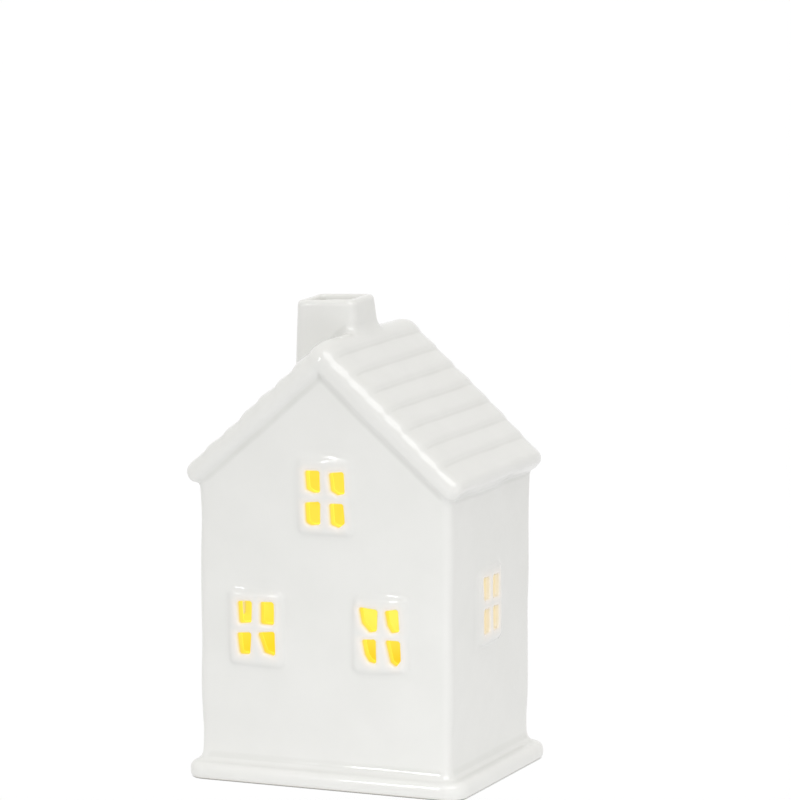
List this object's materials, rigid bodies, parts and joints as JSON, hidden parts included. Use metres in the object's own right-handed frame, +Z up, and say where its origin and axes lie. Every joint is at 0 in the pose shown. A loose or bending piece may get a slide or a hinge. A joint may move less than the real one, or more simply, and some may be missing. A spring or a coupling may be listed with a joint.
{
  "type": "ceramic village house",
  "caption": "White glazed ceramic village house with a gabled, lapped-course roof, chimney and raised cross-bar windows, lit by a battery light unit that pulls out of the plinth.",
  "frame": {"origin": "middle of the plinth's foot, on the surface the house stands on", "axes": "+Z up to the chimney, -Y out of the front gable, +X to the right seen from the front"},
  "size_m": [0.093, 0.0738, 0.1496],
  "materials": {
    "white_glaze": "gloss",
    "white_plastic": "satin",
    "dark_plastic": "satin",
    "red_insulation": "satin",
    "board_green": "satin",
    "clear_silicone": "matt",
    "plated_steel": "plated",
    "cell_steel": "polished",
    "spring_metal": "bright",
    "warm_lens": "clear"
  },
  "bodies": {
    "house": {"wall_shell": "white_glaze", "base_plinth": "white_glaze", "roof": "white_glaze", "chimney": "white_glaze", "window_front_left": "white_glaze", "window_front_right": "white_glaze", "window_front_upper": "white_glaze", "window_side_left": "white_glaze", "window_side_right": "white_glaze"},
    "light_unit": {"case_body": "white_plastic", "case_floor": "white_plastic", "case_screws": "plated_steel", "grip_band": "clear_silicone", "circuit_board": "board_green", "resistor": "dark_plastic", "switch_body": "plated_steel", "button_cell_1": "cell_steel", "button_cell_2": "cell_steel", "button_cell_3": "cell_steel", "positive_contact": "spring_metal", "negative_contact": "spring_metal", "led_left": "warm_lens", "led_right": "warm_lens", "led_leads": "spring_metal", "lead_sleeves": "dark_plastic", "red_wire": "red_insulation", "black_wire": "dark_plastic"},
    "switch_knob": {"switch_slider": "dark_plastic"},
    "battery_cover": {"battery_door": "white_plastic"},
    "cover_screw": {"door_screw": "plated_steel"}
  },
  "joints": [
    {"name": "light_unit_pull", "type": "slide", "parent": "house", "child": "light_unit", "axis": [0, 0, -1], "range_m": [0, 0.05]},
    {"name": "switch_slide", "type": "slide", "parent": "light_unit", "child": "switch_knob", "axis": [1, 0, 0], "range_m": [0, 0.003]},
    {"name": "battery_door_swing", "type": "hinge", "parent": "light_unit", "child": "battery_cover", "pos_m": [0, -0.0037, 0.00135], "axis": [-1, 0, 0], "range_deg": [0, 95]},
    {"name": "door_screw_turn", "type": "hinge", "parent": "battery_cover", "child": "cover_screw", "pos_m": [0, 0.0127, 0.0025], "axis": [0, 0, -1], "range_deg": [0, 810]}
  ]
}
